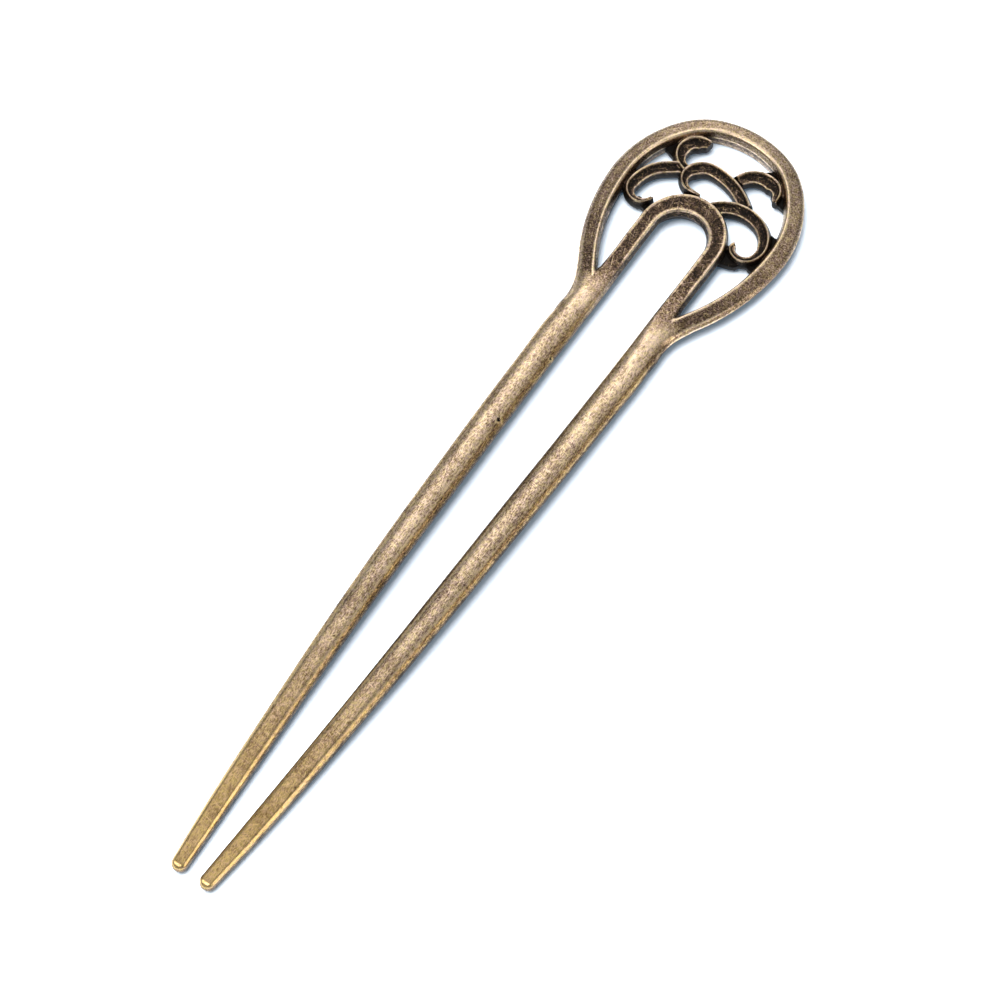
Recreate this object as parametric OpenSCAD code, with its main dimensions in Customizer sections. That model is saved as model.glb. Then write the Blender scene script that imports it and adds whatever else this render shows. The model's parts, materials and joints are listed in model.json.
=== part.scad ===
// Hair fork with an openwork head, cast in one piece of antique bronze coloured metal.
// It lies on its back: +Y runs from the tips to the head, +X across, +Z up from the surface.
// The origin is on the surface, under the middle of the whole piece.

/* [Whole piece] */
// Length from the tips of the prongs to the top of the head
total_length = 125; // [110:1:150]
// Thickness of the ring, of the arch and of the prongs at their thickest
head_thickness = 3.0; // [2.6:0.1:3.6]

/* [Ring] */
// Height of the ring's inner edge above the middle of the head
ring_rise = 12.75; // [12.4:0.05:13.4]
// Width of the ring's bar at the top of the head
ring_top_width = 2.1; // [1.8:0.05:2.4]

/* [Arch] */
// Radius of the arch's inner edge, half the slot between the prongs
arch_radius = 3.8; // [3.5:0.05:3.9]
// Middle of the head to the centre of the arch, down the fork
arch_drop = 4.2; // [4.0:0.1:4.4]
// Width of the arch's bar along its legs
arch_leg_width = 2.1; // [1.9:0.05:2.5]
// How much wider the arch's bar is at its top
arch_top_swell = 0.6; // [0.3:0.1:0.8]

/* [Scrolls] */
// Height of the scrolls' raised edge above the surface
scroll_top = 2.6; // [2.3:0.1:2.9]
// Height of the scrolls' underside above the surface
scroll_base = 0.6; // [0.4:0.1:0.8]
// Height of the low webs between the scrolls and their frame
web_top = 1.6; // [1.2:0.1:2.0]

/* [Prongs] */
// Length of the rounding at each tip
tip_round = 1.0; // [0.6:0.1:1.4]

/* [Finish] */
// Colour of the antique bronze
bronze = "#8a7146"; // ["#8a7146":Bronze, "#b08d57":Light bronze, "#5c4a2e":Dark bronze]

/* [Hidden] */

tips_y = -total_length / 2;
head_y = total_length / 2 - ring_rise - ring_top_width;
arch_y = head_y - arch_drop;

// Longest step between two sections along a curved bar
bar_step = 1.3;
scroll_step = 0.6;

// Runs of the ring's inner edge, from the top of the head down to the prong on the right.
// Columns: length of the run, turn over it (right is negative), width of the bar at its end
RING_RUNS = [
    [3.8, -18, 2.1],
    [4.6, -31, 2.25],
    [10.2, -42, 2.4],
    [14.1, -30, 2.3],
    [2.0, 0, 2.5],
    [6.2, 31, 3.15],
    [3.0, 0, 3.0]
];
// Share of the ring's path, counted from the top, after which its section rounds into the prong
ring_round_from = 0.8;
// Heights above the surface and above the head's top face that the ring's ends reach in the prong
ring_end_base = 0.3;
ring_end_rise = 0.2;

// Right leg of the arch and right prong, from the arch down to the tip.
// Columns: distance from the tips, half the slot, width, thickness, roundness of the section,
// height of the underside above the surface, because the prongs bow up a little
PRONG = [
    [103, 3.80, 2.10, 3.0, 0.0, 0.0],
    [99, 3.75, 2.10, 3.0, 0.1, 0.0],
    [95.5, 3.63, 2.45, 3.0, 0.35, 0.1],
    [92, 3.50, 3.40, 3.0, 0.7, 0.2],
    [88, 3.42, 4.10, 3.0, 1.0, 0.3],
    [80, 3.30, 4.20, 3.0, 1.0, 0.45],
    [72, 3.17, 4.20, 3.0, 1.0, 0.6],
    [64, 3.00, 4.15, 3.0, 1.0, 0.7],
    [50, 2.75, 3.95, 2.9, 1.0, 0.8],
    [36, 2.42, 3.60, 2.7, 1.0, 0.65],
    [24, 2.00, 3.22, 2.5, 1.0, 0.3],
    [12, 1.50, 2.80, 2.25, 1.0, 0.05],
    [6, 1.22, 2.50, 2.05, 1.0, 0.0],
    [1, 1.00, 2.15, 1.9, 1.0, 0.0]
];

// Scrolls, each drawn along its raised outer edge, from the middle of the head.
// Columns: start, heading, width at the start, runs of [length, turn, width at the end]
SCROLLS = [
    // left
    [[-6.3, 5.5], -144, 1.5, [[1.8, 0, 1.5], [5.7, 53, 1.4], [2.8, 69, 0.85], [3.7, 107, 0.45]]],
    // top
    [[-5.3, 4.8], 163, 0.9, [[0.9, -7, 1.0], [2.8, -57, 1.6], [3.8, -80, 1.7], [1.6, -28, 1.0]]],
    // middle
    [[-1.3, 2.55], 186, 0.4, [[1.6, -6, 0.5], [2.4, -60, 1.0], [2.4, -60, 1.55], [3.7, -60, 1.55],
        [7.4, -42, 1.45]]],
    // upper right
    [[1.0, 7.75], 72, 1.4, [[3.0, -45, 1.6], [3.0, -45, 1.75], [2.7, -70, 0.9], [0.8, 0, 0.5]]],
    // lower right
    [[0.45, 2.5], 50, 1.6, [[7.4, -70, 1.5], [4.5, -54, 1.25], [3.1, -53, 0.9], [3.7, -97, 0.75],
        [1.6, -86, 0.65]]]
];

// Low webs, from the middle of the head. Columns: one end, other end, width
WEBS = [
    [[-9.3, 7.6], [-7.2, 6.8], 1.9],
    [[-5.8, 4.8], [-5.2, 4.4], 1.0],
    [[-11.2, -1.2], [-9.8, -0.9], 1.6],
    [[-7.8, -1.9], [-6.0, -2.4], 1.0],
    [[-2.8, 2.6], [-2.4, 1.4], 1.6],
    [[4.2, 10.2], [5.8, 11.3], 1.8],
    [[6.8, 8.7], [9.5, 7.9], 1.6],
    [[9.6, 2.5], [11.2, 2.3], 1.7],
    [[10.4, 1.2], [9.9, -1.8], 1.8],
    [[7.4, -2.7], [5.4, -3.3], 1.8],
    [[5.4, -3.0], [5.2, -1.4], 1.0]
];

// Sections, as [across, up] shares of a bar's width and thickness, inner edge at 0.
// The ring: a crisp inner edge, a top that falls outwards and an outer side that draws in below
RING_SECTION = [
    [-0.09, 0.05], [-0.16, 0.64], [-0.04, 0.93], [0.05, 1.00], [0.20, 0.965], [0.76, 0.85],
    [0.94, 0.75], [1.00, 0.64], [0.90, 0.40], [0.70, 0.11], [0.54, 0.00], [0.05, 0.00]
];
// The arch: crisp upper edges, with sides that spread to two thirds of the height and draw in below
ARCH_SECTION = [
    [0.02, 0.30], [-0.11, 0.62], [-0.06, 0.84], [0.01, 0.97], [0.08, 1.00], [0.94, 1.00],
    [1.00, 0.96], [1.12, 0.66], [1.08, 0.50], [0.93, 0.16], [0.80, 0.00], [0.20, 0.00]
];
// A prong: a crowned top, rounded corners and steep sides
PRONG_SECTION = [
    [0.04, 0.18], [0.00, 0.50], [0.05, 0.80], [0.16, 0.95], [0.36, 1.00], [0.64, 1.00],
    [0.84, 0.95], [0.95, 0.80], [1.00, 0.50], [0.96, 0.18], [0.80, 0.00], [0.20, 0.00]
];
// A scroll: a raised outer edge, a sunken face and sides that spread to their middle
SCROLL_SECTION = [
    [-0.16, 0.00], [-0.31, 0.28], [-0.28, 0.50], [0.00, 0.95], [0.07, 1.00], [0.17, 0.98],
    [0.28, 0.86], [0.60, 0.79], [0.94, 0.80], [1.02, 0.76], [1.08, 0.45], [1.03, 0.00]
];

// Unit vector at an angle
function toward(angle) = [cos(angle), sin(angle)];

// Part way from one section to another
function blend(from, to, share) = from * (1 - share) + to * share;

// Stations along one run, without its last one: [point, heading, width]
function run_stations(from, run, step) =
    let (count = ceil(run[0] / step))
    [for (k = 0, p = from[0]; k < count;
        p = p + run[0] / count * toward(from[1] + run[1] * (k + 0.5) / count), k = k + 1)
        [p, from[1] + run[1] * k / count, from[2] + (run[2] - from[2]) * k / count]];

// The station that one run ends at
function run_end(from, run, step) =
    let (count = ceil(run[0] / step), last = run_stations(from, run, step)[count - 1])
    [last[0] + run[0] / count * toward(from[1] + run[1] * (count - 0.5) / count),
        from[1] + run[1], run[2]];

// Stations along a whole chain of runs
function stations(from, runs, step, i = 0) =
    i == len(runs) ? [from]
    : concat(run_stations(from, runs[i], step), stations(run_end(from, runs[i], step), runs, step, i + 1));

// One section in space, to the given side of its station (1 is left of the heading)
function place(section, point, heading, side, width, base, top) =
    [for (q = section)
        let (across = point + side * q[0] * width * toward(heading + 90))
        [across[0], across[1], base + q[1] * (top - base)]];

// The same section on the other side of the fork
function mirrored(ring) = [for (q = ring) [-q[0], q[1], q[2]]];

// The halves of a symmetric bar joined to one row of sections, the shared one once
function both_sides(half) =
    concat([for (i = [len(half) - 1:-1:1]) mirrored(half[i])], half);

// A closed solid through a row of sections that all have the same number of points
module loft(rings, flip = false) {
    count = len(rings[0]);
    last = (len(rings) - 1) * count;
    sides = [for (i = [0:len(rings) - 2], j = [0:count - 1])
        let (a = i * count + j, b = i * count + (j + 1) % count)
        each [[a, b, b + count], [a, b + count, a + count]]];
    caps = concat([[for (j = [count - 1:-1:0]) j]], [[for (j = [0:count - 1]) last + j]]);
    faces = concat(sides, caps);
    polyhedron(
        points = [for (ring = rings, q = ring) q],
        faces = flip ? [for (f = faces) [for (j = [len(f) - 1:-1:0]) f[j]]] : faces,
        convexity = 10);
}

// The ring round the head, with both ends running down into the prongs
module ring() {
    path = stations([[0, head_y + ring_rise], 0, ring_top_width], RING_RUNS, bar_step);
    half = [for (i = [0:len(path) - 1])
        let (
            share = max(0, i / (len(path) - 1) - ring_round_from) / (1 - ring_round_from),
            section = blend(RING_SECTION, PRONG_SECTION, share),
            base = ring_end_base * share,
            top = head_thickness + ring_end_rise * share)
        place(section, path[i][0], path[i][1], 1, path[i][2], base, top)];
    loft(both_sides(half));
}

// The slot's edge round the arch, with a bar that is widest at the top
function arch_sections() =
    [for (angle = [0:7.5:90])
        place(ARCH_SECTION, [0, arch_y] + arch_radius * toward(90 - angle), -angle, 1,
            arch_leg_width + arch_top_swell * cos(angle) * cos(angle), 0, head_thickness)];

// Thickness of a prong at a row of the table
function thickness(row) = row[3] * head_thickness / PRONG[0][3];

// The leg and the prong below the arch
function prong_sections() =
    [for (row = PRONG)
        place(blend(ARCH_SECTION, PRONG_SECTION, row[4]), [row[1], tips_y + row[0]], -90, 1,
            row[2], row[5], row[5] + thickness(row))];

// The blunt round end of a prong
function tip_sections() =
    let (row = PRONG[len(PRONG) - 1])
    [for (angle = [30, 55, 75])
        let (share = cos(angle), y = tips_y + tip_round * (1 - sin(angle)))
        place(PRONG_SECTION, [row[1] + row[2] * (1 - share) / 2, y], -90, 1,
            row[2] * share, thickness(row) * (1 - share) / 2, thickness(row) * (1 + share) / 2)];

// The arch and the two prongs, one bar from tip to tip
module arch_and_prongs() {
    loft(both_sides(concat(arch_sections(), prong_sections(), tip_sections())));
}

// One curled scroll
module scroll(row) {
    start = row[0] + [0, head_y];
    path = stations([start, row[1], row[2]], row[3], scroll_step);
    // The band lies on the inner side of the curl
    side = row[3][1][1] > 0 ? 1 : -1;
    loft([for (s = path) place(SCROLL_SECTION, s[0], s[1], side, s[2], scroll_base, scroll_top)],
        flip = side < 0);
}

// One low web, a short bar with round ends
module web(row) {
    hull()
        for (end = [row[0], row[1]])
            translate([end[0], end[1] + head_y, scroll_base])
                cylinder(h = web_top - scroll_base, d = row[2], $fn = 16);
}

module fork() {
    color(bronze) {
        ring();
        arch_and_prongs();
        for (row = SCROLLS) scroll(row);
        for (row = WEBS) web(row);
    }
}

fork();
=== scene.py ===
"""Dresses the hair fork's frame: one fine casting in antique bronze, a white table, light and a camera."""

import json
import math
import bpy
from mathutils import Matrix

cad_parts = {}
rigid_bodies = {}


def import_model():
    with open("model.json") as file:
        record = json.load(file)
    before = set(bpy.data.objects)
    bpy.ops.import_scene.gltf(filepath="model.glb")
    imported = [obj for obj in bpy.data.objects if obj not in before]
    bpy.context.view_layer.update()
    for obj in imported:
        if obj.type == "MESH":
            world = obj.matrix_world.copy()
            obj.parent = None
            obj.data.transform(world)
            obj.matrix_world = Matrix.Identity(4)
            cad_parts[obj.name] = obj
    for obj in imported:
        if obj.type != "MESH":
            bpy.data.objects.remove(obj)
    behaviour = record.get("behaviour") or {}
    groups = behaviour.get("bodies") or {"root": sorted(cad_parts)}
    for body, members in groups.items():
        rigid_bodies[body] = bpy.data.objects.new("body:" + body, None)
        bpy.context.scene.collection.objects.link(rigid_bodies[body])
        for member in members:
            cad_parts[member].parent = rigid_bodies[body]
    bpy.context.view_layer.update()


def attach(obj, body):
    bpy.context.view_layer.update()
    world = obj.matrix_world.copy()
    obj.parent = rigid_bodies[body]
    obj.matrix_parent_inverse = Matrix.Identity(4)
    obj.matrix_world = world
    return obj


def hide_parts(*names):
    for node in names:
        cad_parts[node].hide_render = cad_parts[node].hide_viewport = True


bl_info = {
    "name": "Hair Fork",
    "version": (1, 0, 0),
    "blender": (4, 5, 0),
    "location": "3D View > Sidebar > Hair Fork",
    "description": "Models an openwork hair fork in antique bronze, with its table, light and camera",
    "category": "Object",
}

import bmesh
import bpy
import numpy as np
from bpy.props import FloatProperty, FloatVectorProperty, IntProperty, PointerProperty
from mathutils import Vector
from mathutils.bvhtree import BVHTree
from mathutils.interpolate import poly_3d_calc

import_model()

MM = 0.001

# All tables of sizes are in millimetres, and all turns in degrees.
# Runs of the ring's inner edge, from the top of the head down to the prong on the right.
# Columns: length of the run, turn over it, width of the bar at its end
RING_RUNS = (
    (3.8, -18, 2.1),
    (4.6, -31, 2.25),
    (10.2, -42, 2.4),
    (14.1, -30, 2.3),
    (2.0, 0, 2.5),
    (6.2, 31, 3.15),
    (3.0, 0, 3.0),
)

# Right leg of the arch and right prong, from the arch down to the tip.
# Columns: distance from the tips, half the slot, width, thickness, roundness, height of the underside
PRONG = (
    (103, 3.80, 2.10, 3.0, 0.0, 0.0),
    (99, 3.75, 2.10, 3.0, 0.1, 0.0),
    (95.5, 3.63, 2.45, 3.0, 0.35, 0.1),
    (92, 3.50, 3.40, 3.0, 0.7, 0.2),
    (88, 3.44, 4.02, 3.0, 1.0, 0.3),
    (80, 3.36, 4.06, 3.0, 1.0, 0.45),
    (72, 3.26, 4.02, 3.0, 1.0, 0.6),
    (64, 3.10, 3.95, 3.0, 1.0, 0.7),
    (50, 2.85, 3.75, 2.9, 1.0, 0.8),
    (36, 2.50, 3.44, 2.7, 1.0, 0.65),
    (24, 2.05, 3.12, 2.5, 1.0, 0.3),
    (12, 1.54, 2.74, 2.25, 1.0, 0.05),
    (6, 1.26, 2.44, 2.05, 1.0, 0.0),
    (1, 1.04, 2.08, 1.9, 1.0, 0.0),
)

# The swell that joins the ring's end to the prong below the notch.
# Columns: distance from the tips, inner side, width, height of its top
SHOULDER = (
    (95.1, 3.62, 4.6, 2.90),
    (94.0, 3.58, 4.3, 3.03),
    (92.5, 3.52, 3.9, 3.14),
    (91.0, 3.48, 3.7, 3.22),
    (88.5, 3.43, 3.8, 3.28),
    (86.0, 3.40, 4.0, 3.30),
)

# Scrolls, each drawn along its raised outer edge, from the middle of the head.
# Columns: name, start, heading, width at the start, runs of (length, turn, width at the end)
SCROLLS = (
    ("left", (-6.3, 5.5), -144, 1.5, ((1.8, 0, 1.5), (5.7, 53, 1.4), (2.8, 69, 0.85), (3.7, 107, 0.45))),
    ("top", (-5.3, 4.8), 163, 0.9, ((0.9, -7, 1.0), (2.8, -57, 1.6), (3.8, -80, 1.7), (1.6, -28, 1.0))),
    ("middle", (-1.3, 2.55), 186, 0.4,
     ((1.6, -6, 0.5), (2.4, -60, 1.0), (2.4, -60, 1.55), (3.7, -60, 1.55), (7.4, -42, 1.45))),
    ("upper_right", (1.0, 7.75), 72, 1.4,
     ((3.0, -45, 1.6), (3.0, -45, 1.75), (2.7, -70, 0.9), (0.8, 0, 0.5))),
    ("lower_right", (0.45, 2.5), 50, 1.6,
     ((7.4, -70, 1.5), (4.5, -54, 1.25), (3.1, -53, 0.9), (3.7, -97, 0.75), (1.6, -86, 0.65))),
)

# Low webs, from the middle of the head, with a small one in each notch at the end.
# Columns: one end, other end, width
WEBS = (
    ((-9.3, 7.6), (-7.2, 6.8), 1.9),
    ((-5.8, 4.8), (-5.2, 4.4), 1.0),
    ((-11.2, -1.2), (-9.8, -0.9), 1.6),
    ((-7.8, -1.9), (-6.0, -2.4), 1.0),
    ((-2.8, 2.6), (-2.4, 1.4), 1.6),
    ((4.2, 10.2), (5.8, 11.3), 1.8),
    ((6.8, 8.7), (9.5, 7.9), 1.6),
    ((9.6, 2.5), (11.2, 2.3), 1.7),
    ((10.4, 1.2), (9.9, -1.8), 1.8),
    ((7.4, -2.7), (5.4, -3.3), 1.8),
    ((5.4, -3.0), (5.2, -1.4), 1.0),
    ((-5.9, -13.3), (-5.8, -14.3), 0.6),
    ((5.9, -13.3), (5.8, -14.3), 0.6),
)

# Small pits on the left prong. Columns: place across and along the fork, radius
PITS = ((-3.95, 8.1, 0.5), (-3.62, 19.2, 0.34))

# Kinds of ridge along the bars, and how far each is set back from being rubbed quite bright
BRIGHT, UPPER, LOWER, FAINT = 1, 2, 3, 4
RIDGE_SETBACK = {BRIGHT: 0.0, UPPER: 0.22, LOWER: 0.14, FAINT: 0.16}
# On the ring the upper kind is bright only round the top of the head, and the lower kind only further
# down. First two shares of the ring's way from the top to the prong, then the further setback at them
RIDGE_FADING = {UPPER: ((0.35, 0.5), (0.0, 0.4)), LOWER: ((0.45, 0.7), (0.4, 0.0))}

# Sections of the bars. Columns: edge measured from (0 inner, 1 outer), distance across from it,
# level between underside and top (1), distance up from it, kind of ridge (0 for none)
RING_SECTION = (
    (0, 0.15, 0, 0.00, 0), (0, -0.22, 0, 0.14, UPPER), (0, -0.38, 0.60, 0.00, 0),
    (0, -0.41, 0.65, 0.00, UPPER), (0, -0.35, 0.69, 0.00, 0), (0, -0.13, 1, -0.32, 0),
    (0, -0.05, 1, -0.15, 0), (0, 0.03, 1, -0.04, 0), (0, 0.14, 1, 0.02, BRIGHT), (0, 0.26, 1, 0.02, 0),
    (0, 0.40, 1, -0.05, 0), (0, 0.55, 1, -0.10, 0), (0, 0.85, 1, -0.19, 0), (1, -0.98, 1, -0.32, 0),
    (1, -0.66, 1, -0.41, 0), (1, -0.48, 1, -0.50, LOWER), (1, -0.30, 1, -0.65, 0), (1, -0.13, 1, -0.84, 0),
    (1, -0.04, 1, -0.96, LOWER), (1, 0.00, 1, -1.08, 0), (1, -0.05, 1, -1.22, 0),
    (1, -0.35, 0.37, 0.00, 0), (1, -0.80, 0, 0.22, 0), (1, -1.05, 0, 0.00, 0),
)
ARCH_SECTION = (
    (0, 0.60, 0, 0.00, 0), (0, 0.38, 0, 0.20, 0), (0, 0.05, 0.33, 0.00, 0), (0, -0.26, 0.61, 0.00, 0),
    (0, -0.30, 0.66, 0.00, 0), (0, -0.25, 0.71, 0.00, 0), (0, 0.03, 1, -0.08, 0),
    (0, 0.12, 1, 0.01, BRIGHT), (0, 0.24, 1, -0.01, 0), (0, 0.36, 1, -0.06, 0), (0, 0.60, 1, -0.07, 0),
    (0, 0.90, 1, -0.08, 0), (1, -0.90, 1, -0.08, 0), (1, -0.50, 1, -0.06, 0), (1, -0.30, 1, -0.04, 0),
    (1, -0.19, 1, 0.01, 0), (1, -0.10, 1, 0.02, BRIGHT), (1, -0.02, 1, -0.06, 0), (1, 0.22, 0.74, 0.00, 0),
    (1, 0.29, 0.67, 0.00, 0), (1, 0.25, 0.61, 0.00, 0), (1, -0.05, 0.33, 0.00, 0), (1, -0.40, 0, 0.20, 0),
    (1, -0.60, 0, 0.00, 0),
)
SCROLL_SECTION = (
    (0, -0.16, 0, 0.00, 0), (0, -0.36, 0, 0.30, 0), (0, -0.45, 0.38, 0.00, 0), (0, -0.40, 0.50, 0.00, 0),
    (0, -0.16, 1, -0.42, 0), (0, -0.04, 1, -0.14, 0), (0, 0.02, 1, -0.02, 0), (0, 0.09, 1, 0.03, BRIGHT),
    (0, 0.18, 1, 0.00, 0), (0, 0.26, 1, -0.13, 0), (0, 0.34, 1, -0.32, 0), (0, 0.50, 1, -0.44, 0),
    (1, -0.35, 1, -0.50, 0), (1, -0.18, 1, -0.44, 0), (1, -0.08, 1, -0.37, 0), (1, 0.00, 1, -0.38, FAINT),
    (1, 0.05, 1, -0.50, 0), (1, 0.12, 0.45, 0.00, 0), (1, 0.10, 0.30, 0.00, 0), (1, 0.00, 0, 0.10, 0),
    (1, -0.12, 0, 0.00, 0),
)

# The prong's section and the one that it comes to at the tip, in shares of width and thickness
PRONG_SECTION = (
    (0.30, 0.00), (0.17, 0.05), (0.07, 0.18), (0.02, 0.37), (0.00, 0.55), (0.012, 0.68),
    (0.06, 0.79), (0.12, 0.863), (0.19, 0.915), (0.265, 0.954), (0.34, 0.98), (0.42, 0.996),
    (0.58, 0.996), (0.66, 0.98), (0.735, 0.954), (0.81, 0.915), (0.88, 0.863), (0.94, 0.79),
    (0.988, 0.68), (1.00, 0.55), (0.98, 0.37), (0.93, 0.18), (0.83, 0.05), (0.70, 0.00),
)
TIP_SECTION = (
    (0.28, 0.00), (0.16, 0.05), (0.07, 0.17), (0.02, 0.33), (0.005, 0.50), (0.01, 0.66),
    (0.025, 0.79), (0.06, 0.845), (0.12, 0.905), (0.18, 0.965), (0.25, 0.985), (0.40, 0.975),
    (0.60, 0.975), (0.75, 0.985), (0.82, 0.965), (0.88, 0.905), (0.94, 0.845), (0.975, 0.79),
    (0.99, 0.66), (0.995, 0.50), (0.98, 0.33), (0.93, 0.17), (0.84, 0.05), (0.72, 0.00),
)
# Points of these two sections that are their upper corners, rubbed as the rims are, their bright line
# partly wear and partly a painted highlight
PRONG_CORNERS = (8, 15)

# Distance from one drawn section to the next
RING_STEP = 0.5
PRONG_STEP = 1.2
SHOULDER_STEP = 0.8
SCROLL_STEP = 0.3
# Turns round half the arch, and round a tip, at which a section is drawn
ARCH_TURNS = range(-5, 89, 5)
TIP_TURNS = (15, 30, 45, 60, 72, 82)
# Share of the ring's way from which it takes on the prong's section, and how far its top and
# its underside rise by the end of it
RING_END = 0.82
RING_END_RISE = 0.2
RING_END_LIFT = 0.3
# Round the top of the head the ring keeps less of its section's depth. First two shares of its way,
# then the share of the depth that it keeps at them
RING_SINK = ((0.12, 0.4), (0.6, 1.0))
# Height of the swell's underside
SHOULDER_BASE = 0.4
# Distances from the tips between which the round prong comes to the section of its tip
TIP_FROM, TIP_FULL = 42, 12
# Setback of the rubbed ridges where one section turns into another
RING_END_SETBACK = 0.5
LEG_SETBACK = 0.8
# Further setback of the prong's corners, which fades their painted highlight away from the tips. First two
# distances from the tips, then the setback at them
CORNER_SETBACK = ((45, 85), (0.12, 0.4))
# Width from which a scroll's edges and its sunken face have their full size, and the share of its
# depth that the face would keep at no width
SCROLL_FULL = 1.3
SCROLL_SHALLOW = 0.4

# The hollow where the ring runs into a prong: its middle, how far it reaches each way, the number of
# reaches at which it has faded out, the steps in which it fades, and the rounds that smooth it
HOLLOW_MIDDLE = (6.3, 29.6, 2.9)
HOLLOW_REACH = (2.2, 5.0, 1.3)
HOLLOW_END = 1.25
HOLLOW_STEPS = 8
HOLLOW_ROUNDS = 90
# How far round a point the surface is compared, for the rims and for the broad swells and hollows
RIM_REACH = 0.2
SWELL_REACH = 0.6

# Soft lights. Columns: name, azimuth, elevation, distance and width in metres, radiance, colour
SOFTBOXES = (
    ("key", 137, 54, 1.0, 0.40, 1.15, (1.0, 0.97, 0.94)),
    ("overhead", 112, 69, 1.0, 0.46, 1.05, (1.0, 0.98, 0.96)),
    ("back", 118, 38, 1.0, 0.5, 1.0, (1.0, 0.98, 0.95)),
    ("side", 162, 18, 1.0, 0.5, 0.18, (1.0, 0.97, 0.93)),
    ("front", 242, 55, 1.0, 0.5, 3.5, (1.0, 0.96, 0.91)),
    ("right", 56, 55, 1.0, 0.6, 0.45, (1.0, 0.95, 0.88)),
    ("low right", 8, 22, 1.0, 0.46, 2.2, (1.0, 0.94, 0.84)),
)
# One more, which falls on the table alone, as the table in a studio is lit apart
TABLE_LIGHT = ("table light", 188, 72, 1.0, 0.85, 9.5, (1.0, 1.0, 1.0))
SKY = (0.88, 0.94, 1.0)
SKY_STRENGTH = 0.32
TABLE_SIZE = 3.0
TABLE_COLOUR = (0.80, 0.87, 0.95)
TABLE_GLOW = (0.25, 0.60, 1.0)
TABLE_GLOW_STRENGTH = 0.06

# How bright each part's metal is, from 0 for black to 1 for bright: on the prongs how far they are
# rubbed back to bare metal, and at their shoulders also a painted highlight. The ring by the share of
# its way from the top of the head to the prong, the prongs by the distance from the tips
# The ring is lightest round the top of the head and darkest low on both sides, just before the prongs
RING_TONE = ((0.0, 0.57), (0.2, 0.55), (0.5, 0.42), (0.75, 0.24), (1.0, 0.60))
PRONG_WEAR_AND_HIGHLIGHT = (
    (0.0, 0.88), (6.0, 0.80), (20.0, 0.68), (40.0, 0.62), (60.0, 0.66), (86.0, 0.74), (91.5, 0.76),
    (95.0, 0.42), (99.0, 0.18), (110.0, 0.12),
)
# The shoulders are lighter still, partly rubbed and partly a painted highlight
SHOULDER_WEAR_AND_HIGHLIGHT = 0.1
SCROLL_WEAR = 0.15
WEB_WEAR = -0.3
# Distance to the nearest rubbed ridge where there is none
FAR = 2.0

# Where the finish changes, in metres: along the fork from the head to the prongs and from them to
# the tips, and by the height, below which the metal is darkened, partly as patina in the head's
# recesses and partly as painted shade near the table
PRONG_BAND = (0.034, 0.024)
TIP_BAND = (-0.015, -0.055)
LOW_PATINA_AND_SHADE_BAND = (0.0021, 0.0012)
# How steeply a face stands, as the upward part of its normal, to count as a side or as a wall
SIDE_BAND = (0.985, 0.8)
WALL_BAND = (0.55, 0.2)
# Distance from a ridge within which it is rubbed, and how far the surface stands out, below 0 in a
# hollow, both in millimetres
RUBBED_BAND = (0.44, 0.14)
CREST_BAND = (0.008, 0.026)
HOLLOW_BAND = (0.0, -0.06)
# What each of these adds to the wear, on top of which the walls, the low parts and the prongs' flanks
# take painted shade as well as patina, and the pits' edges a painted glint. Where there are two values,
# the first is for the head
WALL_PATINA_AND_SHADE = (-0.27, -0.45)
LOW_PATINA_AND_SHADE_WEAR = (-0.5, -0.15)
HOLLOW_WEAR = -0.25
CREST_WEAR = 0.15
# The prongs' flanks are darkened partly as patina and partly as painted shade
FLANK_PATINA_AND_SHADE = -0.2
MOTTLE_WEAR = 0.5
CLOUD_WEAR = 0.5
PIT_WEAR = -0.7
# A painted glint round each pit's edge
PIT_PAINTED_GLINT = 4.0
SCRATCH_WEAR = 0.5
# What the grain adds, first away from the tips and then at them
GRAIN_WEAR = (2.35, 1.85)
# Wear of a rubbed ridge, and the share of it that is left where the ridge is chipped
RIDGE_WEAR = 0.95
CHIP_BAND = (0.34, 0.54)
CHIP_SHARE = 0.6
# How far the grain makes the edge of a pit ragged, in millimetres, and its floor's share of its radius
PIT_RAGGED = 1.3
PIT_FLOOR = 0.4
# Noises of the finish. Columns: scale, detail, roughness, stretch
MOTTLE = (500, 5, 0.62)
CLOUD = (420, 3, 0.5, (1.0, 0.4, 1.0))
SPECK = (5200, 4, 0.78)
STREAK = (6500, 4, 0.78, (1.0, 0.32, 1.0))
CHIPS = (1500, 3, 0.7)
PATCHES = (2400, 3, 0.6)
# Scratches: their noise, how long it is drawn out, the part of it that shows, and their directions
SCRATCHES = (11000, 1, 0.5)
SCRATCH_LENGTH = 30
SCRATCH_BAND = (0.65, 0.72)
SCRATCH_TURNS = (20, 78, 131)
# Wear at which the metal is umber and bronze, and over which it changes from patina to bare metal
UMBER_AT = 0.28
BRONZE_AT = 0.55
METAL_BAND = (0.05, 0.3)
# Wear over which the surface gets smoother, and its roughness at both ends
ROUGH_BAND = (0.1, 0.9)
ROUGHNESS = (0.42, 0.28)
# Small patches differ in hue and saturation
PATCH_BAND = (0.35, 0.65)
PATCH_HUES = (0.476, 0.512)
PATCH_SATURATIONS = (0.86, 1.12)
# How much of the brass tint the sides of the prongs take on, partly as their colour and partly as a painted
# warm reflection
SIDE_BRASS_AND_REFLECTION = 0.9
# Heights in the surface's relief, where the grain's is 1
PIT_HEIGHT = -3.0
MOTTLE_HEIGHT = 0.8
# Weight of the clear coat on the bare metal
COAT = 0.18


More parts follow.
